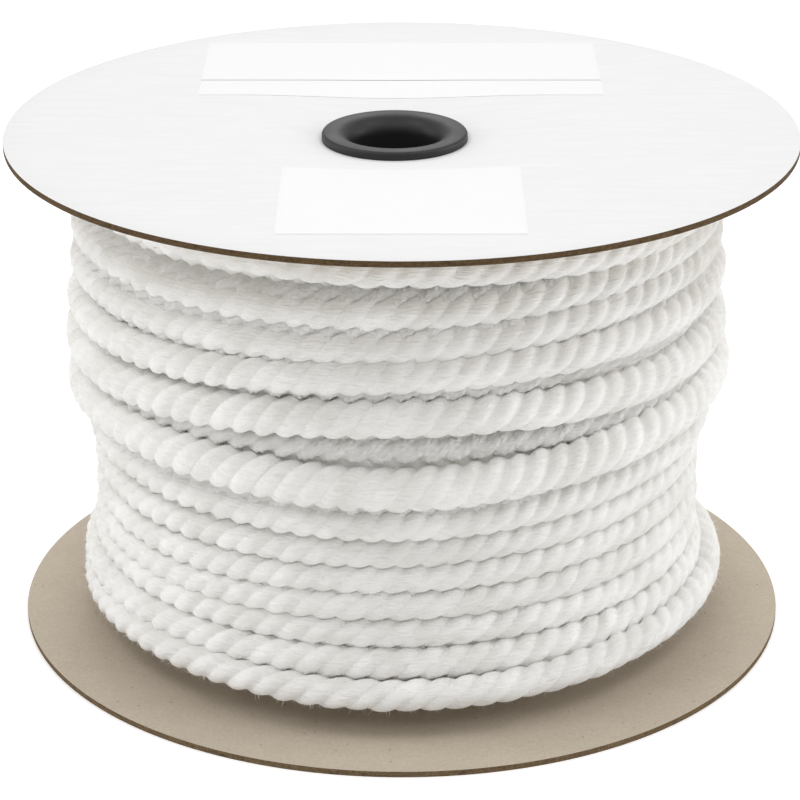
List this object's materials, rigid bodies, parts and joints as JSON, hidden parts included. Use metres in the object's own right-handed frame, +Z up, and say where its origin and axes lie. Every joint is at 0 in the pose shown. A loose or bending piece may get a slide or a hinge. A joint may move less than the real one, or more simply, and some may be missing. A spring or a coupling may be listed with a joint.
{
  "type": "polyester cord wound on a flat-ended spool",
  "caption": "White twisted polyester cord wound in uneven turns between the two flat board ends of a spool with a black plastic hub.",
  "frame": {"origin": "centre of the lower board's underside, on the surface that the spool stands on", "axes": "+Z up along the spool's axis, -Y the front of the winding, +X to the right of the front view"},
  "size_m": [0.2, 0.2, 0.1311],
  "materials": {
    "cord": "soft white spun polyester, three-strand twist",
    "white_board": "chipboard lined with white paper, brown cut edge",
    "kraft_board": "plain grey-brown chipboard, matt",
    "black_plastic": "moulded black plastic, satin",
    "label_paper": "smooth white label paper, blank"
  },
  "bodies": {
    "root": {"cord_winding": "cord", "flange_top": "white_board", "flange_bottom": "kraft_board", "hub": "black_plastic", "label_back": "label_paper", "label_front": "label_paper"}
  },
  "joints": []
}
